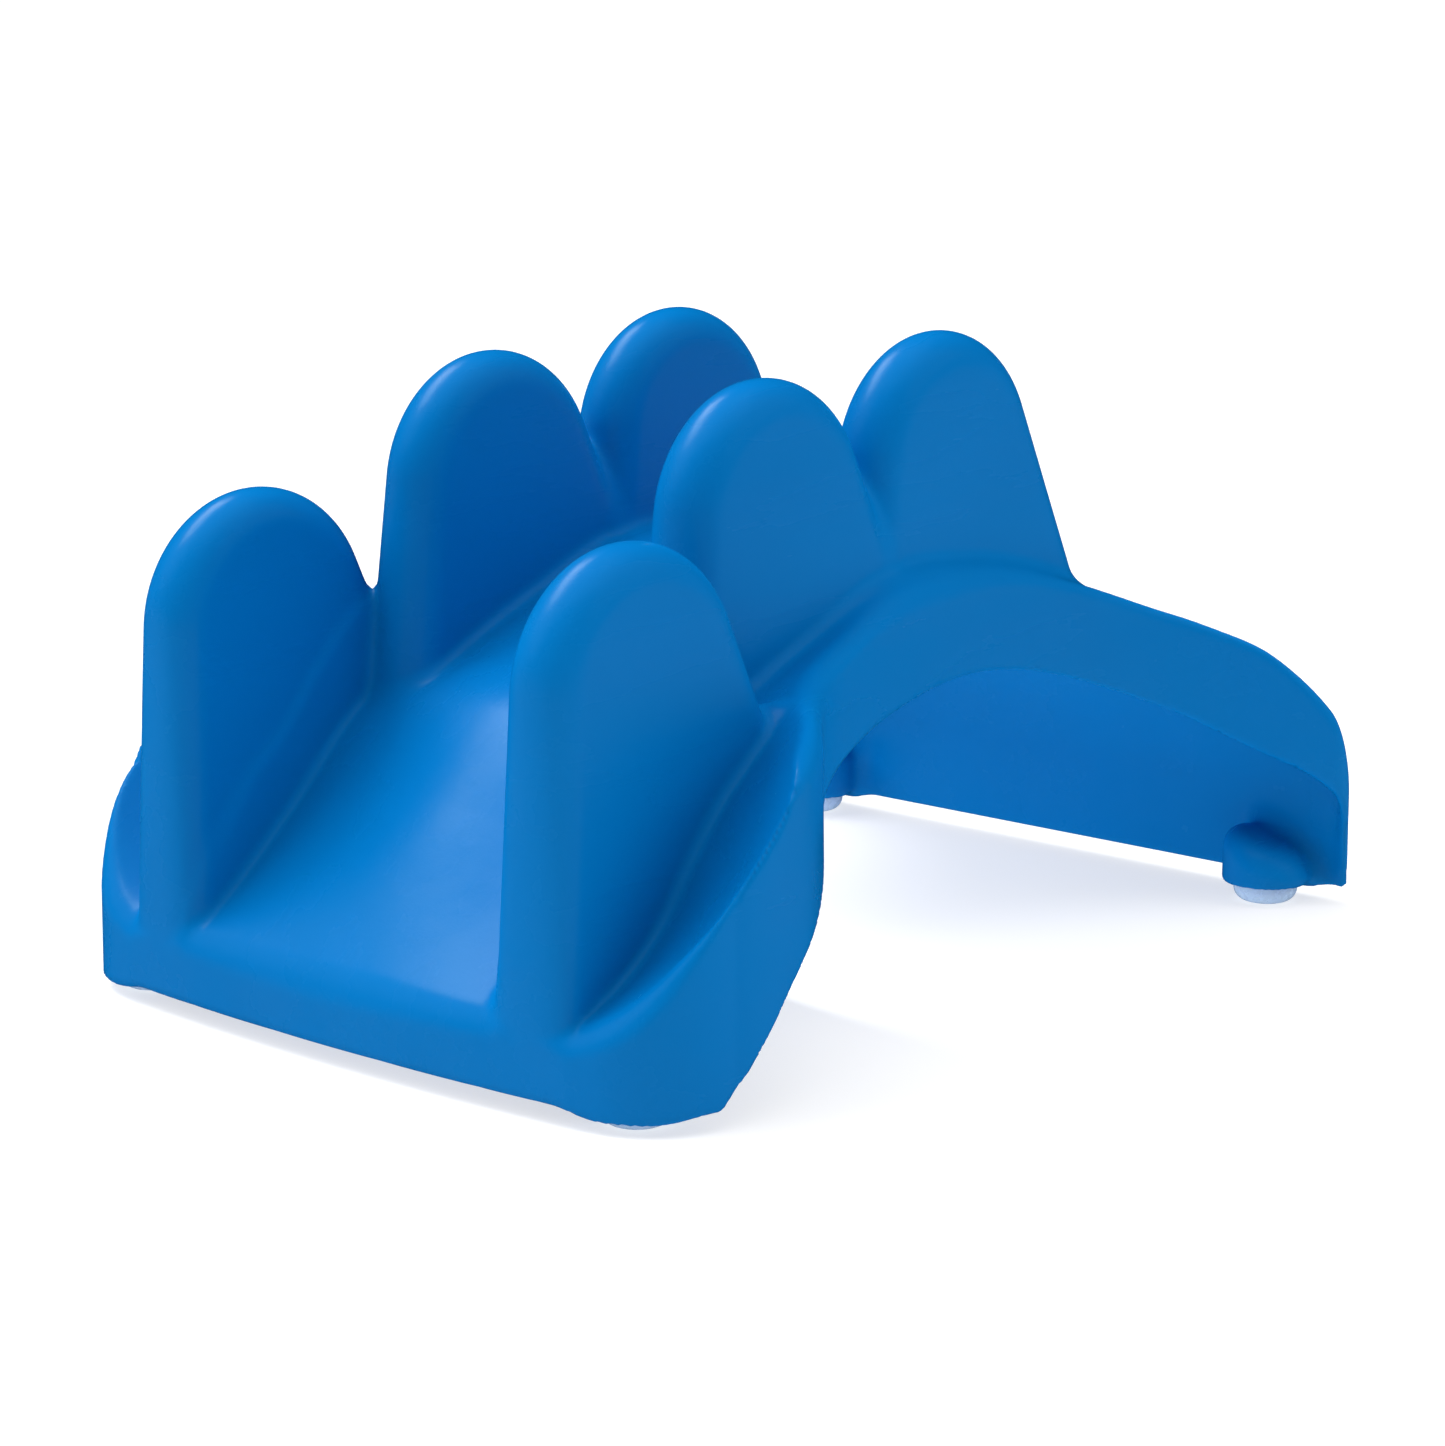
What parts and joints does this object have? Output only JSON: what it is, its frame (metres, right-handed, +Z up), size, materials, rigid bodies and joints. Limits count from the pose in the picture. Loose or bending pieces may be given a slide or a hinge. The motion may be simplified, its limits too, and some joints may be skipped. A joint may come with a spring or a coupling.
{
  "type": "sock aid",
  "caption": "One-piece moulded sock aid: a saddle-shaped frame with two rows of rounded upright fingers that hold a sock open, on clear bumper feet.",
  "frame": {"origin": "centre of the footprint on the floor, midway between the side edges and between the front and back walls", "axes": "+X to the user's right when the low front edge faces the user, +Y from the front edge to the back wall, +Z up"},
  "size_m": [0.2504, 0.3446, 0.195],
  "materials": {
    "blue_moulding": "semi-gloss moulded blue plastic",
    "clear_silicone": "translucent soft silicone",
    "pad_adhesive": "matt adhesive film"
  },
  "bodies": {
    "root": {"moulded_body": "blue_moulding", "foot_front_left": "clear_silicone", "foot_front_right": "clear_silicone", "foot_back_left": "clear_silicone", "foot_back_right": "clear_silicone", "adhesive_pad_front_left": "pad_adhesive", "adhesive_pad_front_right": "pad_adhesive", "adhesive_pad_back_left": "pad_adhesive", "adhesive_pad_back_right": "pad_adhesive"}
  },
  "joints": []
}
